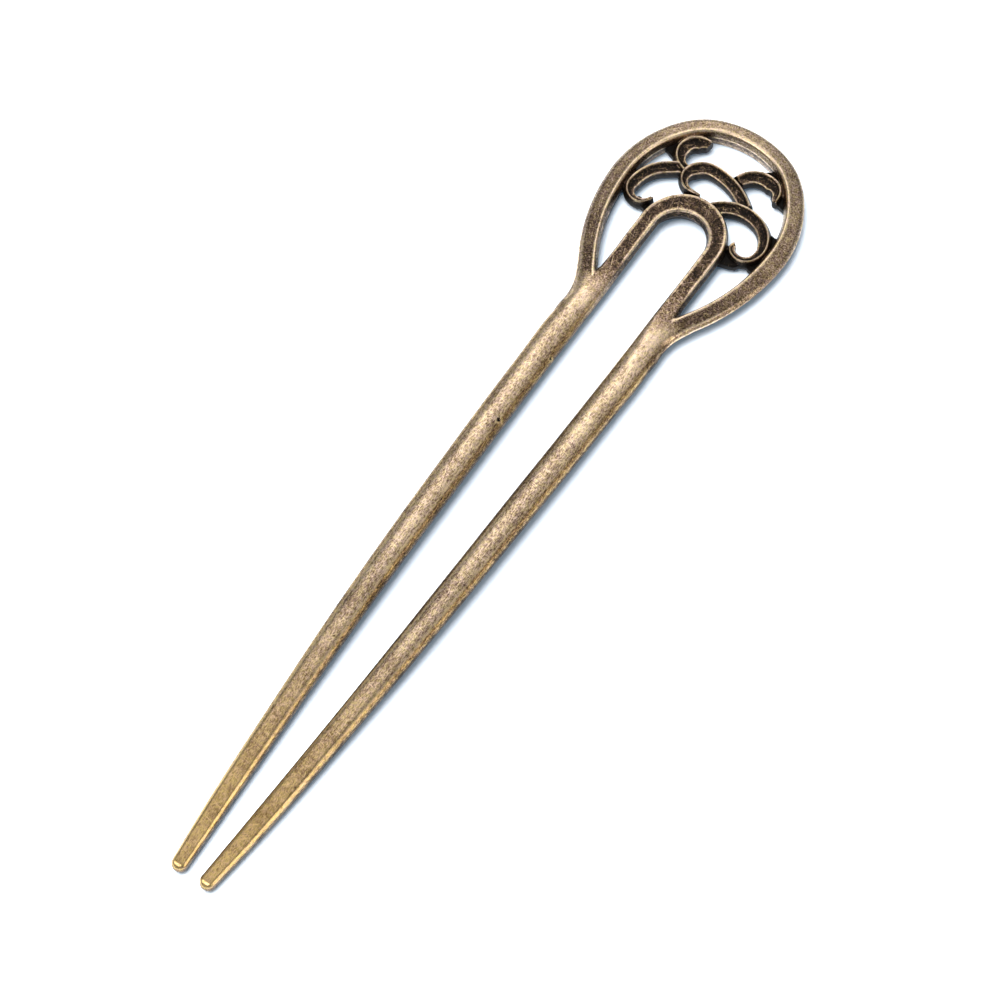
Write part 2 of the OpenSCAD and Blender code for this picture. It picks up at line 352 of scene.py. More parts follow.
class HairForkSizes(bpy.types.PropertyGroup):
    """Sizes of the fork"""

    total_length: FloatProperty(
        name="Length", description="From the tips of the prongs to the top of the head",
        default=0.125, min=0.11, max=0.15, subtype="DISTANCE", unit="LENGTH")
    head_thickness: FloatProperty(
        name="Thickness", description="Thickness of the ring and of the arch",
        default=0.003, min=0.0026, max=0.0036, subtype="DISTANCE", unit="LENGTH")
    ring_rise: FloatProperty(
        name="Ring rise", description="Height of the ring's inner edge above the middle of the head",
        default=0.01275, min=0.0124, max=0.0134, subtype="DISTANCE", unit="LENGTH")
    ring_top_width: FloatProperty(
        name="Ring width", description="Width of the ring's bar at the top of the head",
        default=0.0021, min=0.0018, max=0.0024, subtype="DISTANCE", unit="LENGTH")
    arch_radius: FloatProperty(
        name="Arch radius", description="Radius of the arch's inner edge",
        default=0.0038, min=0.0035, max=0.0039, subtype="DISTANCE", unit="LENGTH")
    arch_drop: FloatProperty(
        name="Arch drop", description="From the middle of the head down to the centre of the arch",
        default=0.0042, min=0.004, max=0.0044, subtype="DISTANCE", unit="LENGTH")
    arch_leg_width: FloatProperty(
        name="Arch width", description="Width of the arch's bar along its legs",
        default=0.0021, min=0.0019, max=0.0025, subtype="DISTANCE", unit="LENGTH")
    arch_top_swell: FloatProperty(
        name="Arch swell", description="How much wider the arch's bar is at its top",
        default=0.0006, min=0.0003, max=0.0008, subtype="DISTANCE", unit="LENGTH")
    scroll_top: FloatProperty(
        name="Scroll height", description="Height of the scrolls' raised edge above the table",
        default=0.0026, min=0.0023, max=0.0029, subtype="DISTANCE", unit="LENGTH")
    scroll_base: FloatProperty(
        name="Scroll underside", description="Height of the scrolls' underside above the table",
        default=0.0006, min=0.0004, max=0.0008, subtype="DISTANCE", unit="LENGTH")
    web_top: FloatProperty(
        name="Web height", description="Height of the low webs beside the scrolls",
        default=0.0016, min=0.0012, max=0.002, subtype="DISTANCE", unit="LENGTH")
    tip_round: FloatProperty(
        name="Tip rounding", description="Length of the rounding at each tip",
        default=0.001, min=0.0006, max=0.0014, subtype="DISTANCE", unit="LENGTH")
    grain: FloatProperty(
        name="Grain", description="Size of the cells in which the bars are fused into one casting",
        default=0.0001, min=0.00006, max=0.0004, subtype="DISTANCE", unit="LENGTH")
    faces: IntProperty(
        name="Faces", description="Triangles that the finished casting keeps",
        default=190000, min=20000, max=198000)


class HairForkFinish(bpy.types.PropertyGroup):
    """Colours of the antique bronze"""

    # The patina is also the colour into which painted shade darkens the walls and the low parts
    patina: FloatVectorProperty(
        name="Patina", description="Blackened metal in the recesses",
        default=(0.009, 0.007, 0.005), min=0, max=1, subtype="COLOR")
    umber: FloatVectorProperty(
        name="Umber", description="Brown metal where the patina thins out",
        default=(0.115, 0.071, 0.042), min=0, max=1, subtype="COLOR")
    bronze: FloatVectorProperty(
        name="Bronze", description="Brown metal of the flat faces",
        default=(0.37, 0.258, 0.16), min=0, max=1, subtype="COLOR")
    gold: FloatVectorProperty(
        name="Gold", description="Polished metal of the rims and tips",
        default=(0.95, 0.75, 0.49), min=0, max=1, subtype="COLOR")
    # The brass tint on the prongs' sides is partly a painted warm reflection
    brass: FloatVectorProperty(
        name="Brass", description="Tint of the sides of the prongs and of their tips",
        default=(0.84, 0.745, 0.49), min=0, max=1, subtype="COLOR")


class HairForkStage(bpy.types.PropertyGroup):
    """Table, light and camera"""

    azimuth: FloatProperty(
        name="Azimuth", description="Turn of the camera round the fork, from the tips towards +X",
        default=math.radians(34.65), subtype="ANGLE")
    elevation: FloatProperty(
        name="Elevation", description="Height of the camera above the table, as an angle",
        default=math.radians(64.2), min=0.1, max=1.57, subtype="ANGLE")
    distance: FloatProperty(
        name="Distance", description="From the camera to the point that it looks at",
        default=0.45, min=0.2, max=2, subtype="DISTANCE", unit="LENGTH")
    lens: FloatProperty(
        name="Lens", description="Focal length of the camera in millimetres",
        default=129.08, min=50, max=300)
    aim: FloatVectorProperty(
        name="Aim", description="Point on the table that the camera looks at",
        default=(0.00166, 0.000278, 0.0), subtype="XYZ", unit="LENGTH")


def deselect():
    if bpy.context.object is not None and bpy.context.object.mode != "OBJECT":
        bpy.ops.object.mode_set(mode="OBJECT")
    bpy.ops.object.select_all(action="DESELECT")


def choose(piece):
    deselect()
    piece.select_set(True)
    bpy.context.view_layer.objects.active = piece


def toward(angle):
    """Unit vector at an angle in degrees."""
    return np.array((math.cos(math.radians(angle)), math.sin(math.radians(angle))))


def stations(start, heading, width, runs, step):
    """Points along a chain of runs, each with its heading and the width of the bar there."""
    point = np.array(start, float)
    path = [(point, heading, width)]
    for length, turn, end_width in runs:
        count = math.ceil(length / step)
        for k in range(count):
            point = point + length / count * toward(heading + turn * (k + 0.5) / count)
            share = (k + 1) / count
            path.append((point, heading + turn * share, width + (end_width - width) * share))
        heading, width = heading + turn, end_width
    return path


def smooth_rows(rows, step):
    """Rows of a table at even steps of its first column, on a curve without kinks."""
    table = np.array(rows, float)
    along = table[0, 0] - table[:, 0]
    slopes = np.gradient(table, along, axis=0)
    wanted = np.linspace(0, along[-1], math.ceil(along[-1] / step) + 1)
    result = []
    for place in wanted:
        i = min(int(np.searchsorted(along, place, side="right")) - 1, len(along) - 2)
        gap = along[i + 1] - along[i]
        t = (place - along[i]) / gap
        result.append(
            (2 * t**3 - 3 * t**2 + 1) * table[i]
            + (t**3 - 2 * t**2 + t) * gap * slopes[i]
            + (3 * t**2 - 2 * t**3) * table[i + 1]
            + (t**3 - t**2) * gap * slopes[i + 1])
    return result


def edged(section, width, thickness, fit=1.0, sink=1.0):
    """A bar's section across and up, with edges of a fixed size.

    Fit narrows the edges, and sink is how much of its depth the top keeps.
    """
    return np.array([
        (edge * width + across * fit, level * thickness + (up * sink if level == 1 else up))
        for edge, across, level, up, ridge in section])


def shared(section, width, thickness):
    """A section that is given in shares, at its size."""
    return np.array(section) * (width, thickness)


def eased(share):
    """A share from 0 to 1 that starts and ends gently."""
    return share * share * (3 - 2 * share)


def from_ridges(section, outline, faded=None):
    """How far each point of an outline lies from the nearest rubbed ridge.

    Faded gives a further setback for some kinds of ridge.
    """
    ridges = [(outline[i], RIDGE_SETBACK[kind] + (faded or {}).get(kind, 0))
              for i, (edge, across, level, up, kind) in enumerate(section) if kind]
    return np.array([
        min(np.hypot(*(point - ridge)) + setback for ridge, setback in ridges) for point in outline])


def from_corners(outline):
    """How far each point of a prong's outline lies from its nearer upper corner."""
    return np.array([min(np.hypot(*(point - outline[i])) for i in PRONG_CORNERS) for point in outline])


def middle_of_head(sizes):
    """Place of the middle of the head along the fork."""
    return (sizes.total_length / 2 - sizes.ring_rise - sizes.ring_top_width) / MM


def place(section, point, heading, side, base):
    """A section set across the path, its outer edge on the left where side is 1, on the right where -1."""
    across = side * toward(heading + 90)
    return [Vector((point[0] + a * across[0], point[1] + a * across[1], base + u)) * MM for a, u in section]


def mark(piece, name, values):
    attribute = piece.data.attributes.new(name, "FLOAT", "POINT")
    attribute.data.foreach_set("value", np.asarray(values, dtype=np.float32))


def draw_bar(name, rings, wear, ridges):
    """Draws a closed bar out of its first section, one extrusion for each section that follows.

    Each section has its own wear, and each of its points a distance from the rubbed ridges.
    """
    deselect()
    bpy.ops.mesh.primitive_circle_add(vertices=len(rings[0]), radius=MM, fill_type="NGON")
    bar = bpy.context.object
    bar.name = name
    bpy.ops.object.mode_set(mode="EDIT")
    bpy.ops.mesh.select_mode(type="FACE")
    bpy.ops.mesh.select_all(action="SELECT")
    mesh = bmesh.from_edit_mesh(bar.data)
    mesh.verts.ensure_lookup_table()
    front = list(range(len(rings[0])))
    fronts = [front]
    for vertex, point in zip(mesh.verts, rings[0]):
        vertex.co = point
    for ring in rings[1:]:
        bpy.ops.mesh.extrude_region_move()
        mesh = bmesh.from_edit_mesh(bar.data)
        mesh.verts.ensure_lookup_table()
        drawn = []
        for index in front:
            ends = [edge.other_vert(mesh.verts[index]) for edge in mesh.verts[index].link_edges]
            drawn.append(next(vertex.index for vertex in ends if vertex.select))
        for index, point in zip(drawn, ring):
            mesh.verts[index].co = point
        front = drawn
        fronts.append(front)
    bmesh.update_edit_mesh(bar.data)
    bpy.ops.mesh.select_all(action="SELECT")
    bpy.ops.mesh.normals_make_consistent(inside=False)
    bpy.ops.object.mode_set(mode="OBJECT")
    bar_wear = np.zeros(len(bar.data.vertices))
    bar_ridges = np.zeros(len(bar.data.vertices))
    for front, one_wear, one_ridges in zip(fronts, wear, ridges):
        bar_wear[front] = one_wear
        bar_ridges[front] = one_ridges
    mark(bar, "wear", bar_wear)
    mark(bar, "ridge", bar_ridges)
    return bar


def apply_modifiers(piece):
    choose(piece)
    for modifier in list(piece.modifiers):
        bpy.ops.object.modifier_apply(modifier=modifier.name)


def mirror_across(piece):
    """Adds the left half of a bar that was drawn on the right."""
    mirror = piece.modifiers.new("Left half", "MIRROR")
    mirror.use_axis = (True, False, False)
    mirror.use_mirror_merge = False
    apply_modifiers(piece)


class HAIRFORK_OT_ring(bpy.types.Operator):
    """Draws the ring round the head, with its ends running down into the prongs"""

    bl_idname = "hairfork.ring"
    bl_label = "Ring"

    def execute(self, context):
        sizes = context.scene.hairfork_sizes
        thick = sizes.head_thickness / MM
        inner_y = (sizes.total_length / 2 - sizes.ring_top_width) / MM
        path = stations((-0.4, inner_y), 0, sizes.ring_top_width / MM,
                        ((0.4, 0, sizes.ring_top_width / MM),) + RING_RUNS, RING_STEP)
        rings, wear, ridges = [], [], []
        for i, (point, heading, width) in enumerate(path):
            along = i / (len(path) - 1)
            share = eased(max(0.0, along - RING_END) / (1 - RING_END))
            tall = thick + (RING_END_RISE - RING_END_LIFT) * share
            section = (edged(RING_SECTION, width, tall, 1, np.interp(along, *RING_SINK)) * (1 - share)
                       + shared(PRONG_SECTION, width, tall) * share)
            faded = {kind: np.interp(along, *fading) for kind, fading in RIDGE_FADING.items()}
            wear.append(np.interp(along, *zip(*RING_TONE)))
            ridges.append(from_ridges(RING_SECTION, section, faded) + RING_END_SETBACK * share)
            rings.append(place(section, point, heading, 1, RING_END_LIFT * share))
        mirror_across(draw_bar("ring", rings, wear, ridges))
        return {"FINISHED"}


class HAIRFORK_OT_prongs(bpy.types.Operator):
    """Draws the arch, its legs and the two prongs down to their tips"""

    bl_idname = "hairfork.prongs"
    bl_label = "Arch and prongs"

    def execute(self, context):
        sizes = context.scene.hairfork_sizes
        thick = sizes.head_thickness / MM
        tips_y = -sizes.total_length / 2 / MM
        head_y = middle_of_head(sizes)
        arch = np.array((0, head_y - sizes.arch_drop / MM))
        radius = sizes.arch_radius / MM
        rings, wear, ridges = [], [], []
        for angle in ARCH_TURNS:
            width = (sizes.arch_leg_width + sizes.arch_top_swell * math.cos(math.radians(angle)) ** 2) / MM
            section = edged(ARCH_SECTION, width, thick)
            wear.append(PRONG_WEAR_AND_HIGHLIGHT[-1][1])
            ridges.append(from_ridges(ARCH_SECTION, section))
            rings.append(place(section, arch + radius * toward(90 - angle), -angle, 1, 0))
        for away, slot, width, thickness, roundness, base in smooth_rows(PRONG, PRONG_STEP):
            thickness *= thick / PRONG[0][3]
            roundness = min(1, max(0, roundness))
            tip = min(1, max(0, (TIP_FROM - away) / (TIP_FROM - TIP_FULL)))
            rounded = (shared(PRONG_SECTION, width, thickness) * (1 - tip)
                       + shared(TIP_SECTION, width, thickness) * tip)
            section = edged(ARCH_SECTION, width, thickness) * (1 - roundness) + rounded * roundness
            wear.append(np.interp(away, *zip(*PRONG_WEAR_AND_HIGHLIGHT)))
            ridges.append(np.minimum(
                from_ridges(ARCH_SECTION, section) + LEG_SETBACK * min(1, 2 * roundness),
                from_corners(section) + LEG_SETBACK * (1 - roundness) + np.interp(away, *CORNER_SETBACK)))
            rings.append(place(section, np.array((slot, tips_y + away)), -90, 1, max(0, base)))
        away, slot, width, thickness = PRONG[-1][:4]
        for angle in TIP_TURNS:
            share = math.cos(math.radians(angle))
            y = tips_y + sizes.tip_round / MM * (1 - math.sin(math.radians(angle)))
            section = (shared(TIP_SECTION, width * share, thickness * share) * share
                       + shared(PRONG_SECTION, width * share, thickness * share) * (1 - share))
            start = np.array((slot + width * (1 - share) / 2, y))
            wear.append(PRONG_WEAR_AND_HIGHLIGHT[0][1])
            ridges.append(np.full(len(section), FAR))
            rings.append(place(section, start, -90, 1, thickness * (1 - share) / 2))
        mirror_across(draw_bar("prongs", rings, wear, ridges))
        rings, wear, ridges = [], [], []
        for away, inner, width, top in smooth_rows(SHOULDER, SHOULDER_STEP):
            section = shared(PRONG_SECTION, width, top - SHOULDER_BASE)
            rings.append(place(section, np.array((inner, tips_y + away)), -90, 1, SHOULDER_BASE))
            wear.append(np.interp(away, *zip(*PRONG_WEAR_AND_HIGHLIGHT)) + SHOULDER_WEAR_AND_HIGHLIGHT)
            ridges.append(np.full(len(section), FAR))
        mirror_across(draw_bar("prongs_shoulder", rings, wear, ridges))
        return {"FINISHED"}


class HAIRFORK_OT_scrolls(bpy.types.Operator):
    """Draws the five curled scrolls, each with a raised outer edge and a sunken face"""

    bl_idname = "hairfork.scrolls"
    bl_label = "Scrolls"

    def execute(self, context):
        sizes = context.scene.hairfork_sizes
        head_y = middle_of_head(sizes)
        base = sizes.scroll_base / MM
        height = (sizes.scroll_top - sizes.scroll_base) / MM
        for name, start, heading, width, runs in SCROLLS:
            side = 1 if runs[1][1] > 0 else -1
            rings, ridges = [], []
            path = stations((start[0], start[1] + head_y), heading, width, runs, SCROLL_STEP)
            for point, turned, wide in path:
                fit = min(1.0, wide / SCROLL_FULL)
                sink = SCROLL_SHALLOW + (1 - SCROLL_SHALLOW) * fit
                section = edged(SCROLL_SECTION, wide, height, fit, sink)
                ridges.append(from_ridges(SCROLL_SECTION, section))
                rings.append(place(section, point, turned, side, base))
            draw_bar("scroll_" + name, rings, [SCROLL_WEAR] * len(rings), ridges)
        return {"FINISHED"}


class HAIRFORK_OT_webs(bpy.types.Operator):
    """Adds the low webs that join the scrolls to the ring, to the arch and to each other"""

    bl_idname = "hairfork.webs"
    bl_label = "Webs"

    def execute(self, context):
        sizes = context.scene.hairfork_sizes
        head_y = middle_of_head(sizes)
        height = sizes.web_top - sizes.scroll_base
        for i, (one, other, width) in enumerate(WEBS):
            one, other = Vector(one), Vector(other)
            along = other - one
            deselect()
            bpy.ops.mesh.primitive_cylinder_add(
                vertices=24, radius=width / 2 * MM, depth=height,
                location=(one.x * MM, (one.y + head_y) * MM, sizes.scroll_base + height / 2))
            web = bpy.context.object
            web.name = "web_%d" % i
            bpy.ops.object.transform_apply(location=True, rotation=True, scale=True)
            bpy.ops.object.mode_set(mode="EDIT")
            mesh = bmesh.from_edit_mesh(web.data)
            bpy.ops.mesh.select_mode(type="FACE")
            bpy.ops.mesh.select_all(action="DESELECT")
            for face in mesh.faces:
                outward = face.calc_center_median() - Vector((one.x, one.y + head_y, 0)) * MM
                face.select = abs(face.normal.z) < 0.5 and outward.to_2d().dot(along) > 0
            bmesh.update_edit_mesh(web.data)
            bpy.ops.mesh.extrude_region_move(
                TRANSFORM_OT_translate={"value": (along.x * MM, along.y * MM, 0)})
            bpy.ops.mesh.select_all(action="SELECT")
            bpy.ops.mesh.normals_make_consistent(inside=False)
            bpy.ops.object.mode_set(mode="OBJECT")
            mark(web, "wear", np.full(len(web.data.vertices), WEB_WEAR))
            mark(web, "ridge", np.full(len(web.data.vertices), FAR))
        return {"FINISHED"}


def neighbours_mean(points, edges, rounds):
    """Each point drawn towards the mean of its neighbours, a number of times."""
    count = len(points)
    degree = np.bincount(edges.ravel(), minlength=count).clip(1)
    for _ in range(rounds):
        points = np.stack([
            (np.bincount(edges[:, 0], points[edges[:, 1], axis], count)
             + np.bincount(edges[:, 1], points[edges[:, 0], axis], count)) / degree
            for axis in range(3)], 1)
    return points


def mesh_arrays(mesh):
    points = np.empty(len(mesh.vertices) * 3)
    mesh.vertices.foreach_get("co", points)
    normals = np.empty(len(mesh.vertices) * 3)
    mesh.vertices.foreach_get("normal", normals)
    edges = np.empty(len(mesh.edges) * 2, dtype=np.int32)
    mesh.edges.foreach_get("vertices", edges)
    return points.reshape(-1, 3), normals.reshape(-1, 3), edges.reshape(-1, 2)


def marks_of(mesh, names):
    marks = np.empty((len(names), len(mesh.vertices)), dtype=np.float32)
    for row, name in zip(marks, names):
        mesh.attributes[name].data.foreach_get("value", row)
    return marks


def read_across(mesh, marks):
    """A function that reads marks at any point, off the nearest spot of the mesh's surface."""
    corners = [list(face.vertices) for face in mesh.polygons]
    spots = [vertex.co.copy() for vertex in mesh.vertices]
    tree = BVHTree.FromPolygons(spots, corners)

    def read(points):
        values = np.empty((len(marks), len(points)), dtype=np.float32)
        for i, point in enumerate(points):
            spot, normal, face, distance = tree.find_nearest(point)
            shares = poly_3d_calc([spots[k] for k in corners[face]], spot)
            values[:, i] = marks[:, corners[face]] @ shares
        return values

    return read


def near_shoulder(points):
    """1 in the hollow where the ring runs into a prong, falling to 0 round it."""
    middle = np.array(HOLLOW_MIDDLE) * MM
    reach = np.array(HOLLOW_REACH) * MM
    away = np.linalg.norm((np.abs(points * (1, 0, 0)) + points * (0, 1, 1) - middle) / reach, axis=1)
    return np.clip(HOLLOW_END - away, 0, 1)


class HAIRFORK_OT_cast(bpy.types.Operator):
    """Fuses the bars into one casting, softens it, and marks its rims and its hollows"""

    bl_idname = "hairfork.cast"
    bl_label = "Cast in one piece"

    def execute(self, context):
        sizes = context.scene.hairfork_sizes
        parts = [o for o in context.scene.objects
                 if o.name.split("_")[0] in ("ring", "prongs", "scroll", "web")]
        deselect()
        for part in parts:
            part.select_set(True)
        context.view_layer.objects.active = parts[0]
        bpy.ops.object.join()
        casting = context.object
        casting.name = "casting"
        read_bars = read_across(casting.data, marks_of(casting.data, ("wear", "ridge")))
        grain = sizes.grain * 1
        fuse = casting.modifiers.new("Fuse", "REMESH")
        fuse.mode = "VOXEL"
        fuse.voxel_size = grain
        soften = casting.modifiers.new("Soften", "SMOOTH")
        soften.factor = 0.5
        soften.iterations = 3
        apply_modifiers(casting)
        points = mesh_arrays(casting.data)[0]
        hollow = casting.vertex_groups.new(name="shoulder")
        weights = np.round(near_shoulder(points) * HOLLOW_STEPS) / HOLLOW_STEPS
        for weight in np.unique(weights[weights > 0]):
            hollow.add(np.flatnonzero(weights == weight).tolist(), float(weight), "REPLACE")
        fill = casting.modifiers.new("Fill the shoulders", "SMOOTH")
        fill.factor = 0.5
        fill.iterations = round(HOLLOW_ROUNDS * (0.1 * MM / grain) ** 2)
        fill.vertex_group = "shoulder"
        apply_modifiers(casting)
        points, normals, edges = mesh_arrays(casting.data)
        for name, reach in (("rim", RIM_REACH * MM), ("swell", SWELL_REACH * MM)):
            rounds = max(1, round((reach / grain) ** 2))
            drawn = neighbours_mean(points, edges, rounds)
            mark(casting, name, ((points - drawn) * normals).sum(1) / MM)
        read_casting = read_across(casting.data, marks_of(casting.data, ("rim", "swell")))
        thin = casting.modifiers.new("Thin out", "DECIMATE")
        thin.ratio = min(1.0, sizes.faces / (2 * len(casting.data.polygons)))
        thin.use_collapse_triangulate = True
        apply_modifiers(casting)
        kept = mesh_arrays(casting.data)[0]
        for name in ("rim", "swell"):
            casting.data.attributes.remove(casting.data.attributes[name])
        for name, values in zip(("wear", "ridge", "rim", "swell"), (*read_bars(kept), *read_casting(kept))):
            mark(casting, name, values)
        bpy.ops.object.shade_smooth()
        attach(casting, "root")
        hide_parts("fork")
        return {"FINISHED"}


class NodeBench:
    """Adds nodes to a material and links them in one go."""

    def __init__(self, material):
        material.use_nodes = True
        self.tree = material.node_tree
        self.tree.nodes.clear()
        self.coordinates = self.add("ShaderNodeTexCoord")

    def add(self, kind, inputs=None, **settings):
        node = self.tree.nodes.new(kind)
        for name, value in settings.items():
            setattr(node, name, value)
        for name, value in (inputs or {}).items():
            self.put(node.inputs[name], value)
        return node

    def put(self, socket, value):
        if isinstance(value, bpy.types.NodeSocket):
            self.tree.links.new(value, socket)
        else:
            socket.default_value = value

    def math(self, operation, *values, clamp=False):
        node = self.tree.nodes.new("ShaderNodeMath")
        node.operation = operation
        node.use_clamp = clamp
        for socket, value in zip(node.inputs, values):
            self.put(socket, value)
        return node.outputs[0]

    def span(self, value, low, high, to_low=0.0, to_high=1.0):
        """The value, taken smoothly from one range to another."""
        node = self.add("ShaderNodeMapRange", {
            "Value": value, "From Min": low, "From Max": high, "To Min": to_low, "To Max": to_high},
            interpolation_type="SMOOTHSTEP")
        return node.outputs["Result"]

    def centred(self, noise, weight, base):
        """The base, with the weighted noise added round its middle."""
        return self.math("MULTIPLY_ADD", self.math("SUBTRACT", noise, 0.5), weight, base)

    def attribute(self, name):
        return self.add("ShaderNodeAttribute", attribute_name=name).outputs["Fac"]

    def mixed(self, share, one, other):
        node = self.add("ShaderNodeMix", data_type="FLOAT")
        self.put(node.inputs["Factor"], share)
        self.put(node.inputs["A"], one)
        self.put(node.inputs["B"], other)
        return node.outputs["Result"]

    def flat(self, vector):
        """The vector without its height."""
        node = self.add("ShaderNodeVectorMath", {0: vector, 1: (1, 1, 0)}, operation="MULTIPLY")
        return node.outputs["Vector"]

    def noise(self, coordinates, scale, detail, roughness, stretch=None):
        if stretch is not None:
            mapping = self.add("ShaderNodeMapping", {"Vector": coordinates, "Scale": stretch})
            coordinates = mapping.outputs["Vector"]
        node = self.add("ShaderNodeTexNoise", {
            "Vector": coordinates, "Scale": scale, "Detail": detail, "Roughness": roughness})
        return node.outputs["Fac"]

    def scratches(self, coordinates, turn):
        """Sparse fine lines at a turn in degrees, 0 to 1."""
        mapping = self.add("ShaderNodeMapping", {
            "Vector": coordinates, "Rotation": (0, 0, math.radians(turn)), "Scale": (1, SCRATCH_LENGTH, 1)},
            vector_type="TEXTURE")
        return self.span(self.noise(mapping.outputs["Vector"], *SCRATCHES), *SCRATCH_BAND)


class HAIRFORK_OT_bronze(bpy.types.Operator):
    """Gives the casting its antique bronze: dark recesses, brown faces and gold rims, with painted shade on
    its walls, low down and on the prongs' flanks, a painted warm reflection on the prongs' sides, a painted
    highlight on the shoulders and painted glints at the pits
    """

    bl_idname = "hairfork.bronze"
    bl_label = "Antique bronze"

    def execute(self, context):
        finish = context.scene.hairfork_finish
        casting = bpy.data.objects["casting"]
        material = bpy.data.materials.new("antique bronze")
        bench = NodeBench(material)
        where = bench.coordinates.outputs["Object"]
        spot = bench.add("ShaderNodeSeparateXYZ", {"Vector": where})
        wear, ridge, rim, swell = (bench.attribute(name) for name in ("wear", "ridge", "rim", "swell"))
        facing = bench.add("ShaderNodeSeparateXYZ", {"Vector": bench.coordinates.outputs["Normal"]})
        down = bench.span(spot.outputs["Y"], *PRONG_BAND)
        tip = bench.span(spot.outputs["Y"], *TIP_BAND)
        # Darker low down near the table: partly patina in the recesses, partly painted shade
        low_patina_and_shade = bench.span(spot.outputs["Z"], *LOW_PATINA_AND_SHADE_BAND)
        side = bench.math("MULTIPLY", bench.span(facing.outputs["Z"], *SIDE_BAND), down)
        # The prongs' sides away from the tips, darkened partly as patina and partly as painted shade
        flank_patina_and_shade = bench.math("MULTIPLY", side, bench.math("SUBTRACT", 1.0, tip))
        # Steep walls, darkened partly as patina on unrubbed metal and partly as painted shade
        wall = bench.span(facing.outputs["Z"], *WALL_BAND)
        crest = bench.span(rim, *CREST_BAND)
        hollow = bench.span(swell, *HOLLOW_BAND)
        mottle = bench.noise(where, *MOTTLE)
        cloud = bench.noise(where, *CLOUD)
        speck = bench.noise(where, *SPECK)
        grain = bench.mixed(down, speck, bench.noise(where, *STREAK))
        whole = bench.span(bench.noise(where, *CHIPS), *CHIP_BAND, CHIP_SHARE, 1)
        rubbed = bench.math("MULTIPLY", bench.span(ridge, *RUBBED_BAND), whole)
        pit = 0.0
        for x, y, radius in PITS:
            away = bench.math("MULTIPLY", bench.add(
                "ShaderNodeVectorMath", {0: bench.flat(where), 1: (x * MM, y * MM, 0)},
                operation="DISTANCE").outputs["Value"], 1 / MM)
            ragged = bench.centred(speck, PIT_RAGGED, away)
            pit = bench.math("MAXIMUM", bench.span(ragged, radius, radius * PIT_FLOOR), pit)
        # A painted glint in a ring round each pit's edge
        pit_painted_glint = bench.math("MULTIPLY", pit, bench.math("SUBTRACT", 1.0, pit))
        scratch = 0.0
        for turn in SCRATCH_TURNS:
            scratch = bench.math("MAXIMUM", bench.scratches(where, turn), scratch)
        level = wear
        for amount, weight in (
                (wall, bench.span(down, 0.0, 1.0, *WALL_PATINA_AND_SHADE)),
                (low_patina_and_shade, bench.span(down, 0.0, 1.0, *LOW_PATINA_AND_SHADE_WEAR)),
                (hollow, HOLLOW_WEAR), (crest, CREST_WEAR), (flank_patina_and_shade, FLANK_PATINA_AND_SHADE)):
            level = bench.math("MULTIPLY_ADD", amount, weight, level)
        level = bench.mixed(rubbed, level, RIDGE_WEAR)
        for noise, weight in (
                (grain, bench.span(tip, 0.0, 1.0, *GRAIN_WEAR)), (mottle, MOTTLE_WEAR),
                (cloud, bench.math("MULTIPLY", down, CLOUD_WEAR))):
            level = bench.centred(noise, weight, level)
        for amount, weight in ((pit, PIT_WEAR), (pit_painted_glint, PIT_PAINTED_GLINT)):
            level = bench.math("MULTIPLY_ADD", amount, weight, level)
        level = bench.math("MULTIPLY_ADD", scratch, SCRATCH_WEAR, level, clamp=True)
        ramp = bench.add("ShaderNodeValToRGB", {"Fac": level})
        stops = ramp.color_ramp.elements
        stops[0].position = 0.0
        stops[0].color = (*finish.patina, 1)
        stops[1].position = 1.0
        stops[1].color = (*finish.gold, 1)
        for position, colour in ((UMBER_AT, finish.umber), (BRONZE_AT, finish.bronze)):
            stops.new(position).color = (*colour, 1)
        patch = bench.noise(where, *PATCHES)
        tint = bench.add("ShaderNodeHueSaturation", {
            "Color": ramp.outputs["Color"], "Hue": bench.span(patch, *PATCH_BAND, *PATCH_HUES),
            "Saturation": bench.span(patch, *PATCH_BAND, *PATCH_SATURATIONS)})
        # Brass at the tips; on the prongs' sides, brass partly as colour and partly as a painted warm
        # reflection
        brass_and_side_reflection = bench.math("MAXIMUM", tip, bench.math("MULTIPLY", side, SIDE_BRASS_AND_REFLECTION))
        warm = bench.add("ShaderNodeMix", data_type="RGBA", blend_type="MULTIPLY")
        bench.put(warm.inputs["Factor"], brass_and_side_reflection)
        bench.put(warm.inputs["A"], tint.outputs["Color"])
        bench.put(warm.inputs["B"], (*finish.brass, 1))
        metal = bench.span(level, *METAL_BAND)
        rough = bench.span(level, *ROUGH_BAND, *ROUGHNESS)
        relief = bench.math("MULTIPLY_ADD", mottle, MOTTLE_HEIGHT, grain)
        relief = bench.math("MULTIPLY_ADD", pit, PIT_HEIGHT, relief)
        bump = bench.add("ShaderNodeBump", {"Height": relief, "Strength": 0.6, "Distance": 0.00002})
        shader = bench.add("ShaderNodeBsdfPrincipled", {
            "Base Color": warm.outputs["Result"], "Metallic": metal, "Roughness": rough,
            "Specular IOR Level": 0.07, "Coat Weight": bench.math("MULTIPLY", metal, COAT),
            "Coat Roughness": 0.35, "Normal": bump.outputs["Normal"]})
        bench.add("ShaderNodeOutputMaterial", {"Surface": shader.outputs["BSDF"]})
        casting.data.materials.clear()
        casting.data.materials.append(material)
        return {"FINISHED"}


def add_softbox(name, azimuth, elevation, distance, width, radiance, colour):
    """Adds a square soft light aimed at the fork.

    Its azimuth is counted from +X, and its elevation from the table.
    """
    data = bpy.data.lights.new(name, "AREA")
    data.shape = "SQUARE"
    data.size = width
    data.energy = radiance * math.pi * width * width
    data.color = colour
    light = bpy.data.objects.new(name, data)
    bpy.context.scene.collection.objects.link(light)
    flat = math.cos(math.radians(elevation))
    towards = Vector((*(toward(azimuth) * flat), math.sin(math.radians(elevation))))
    light.location = towards * distance
    light.rotation_euler = towards.to_track_quat("Z", "Y").to_euler()
    return light


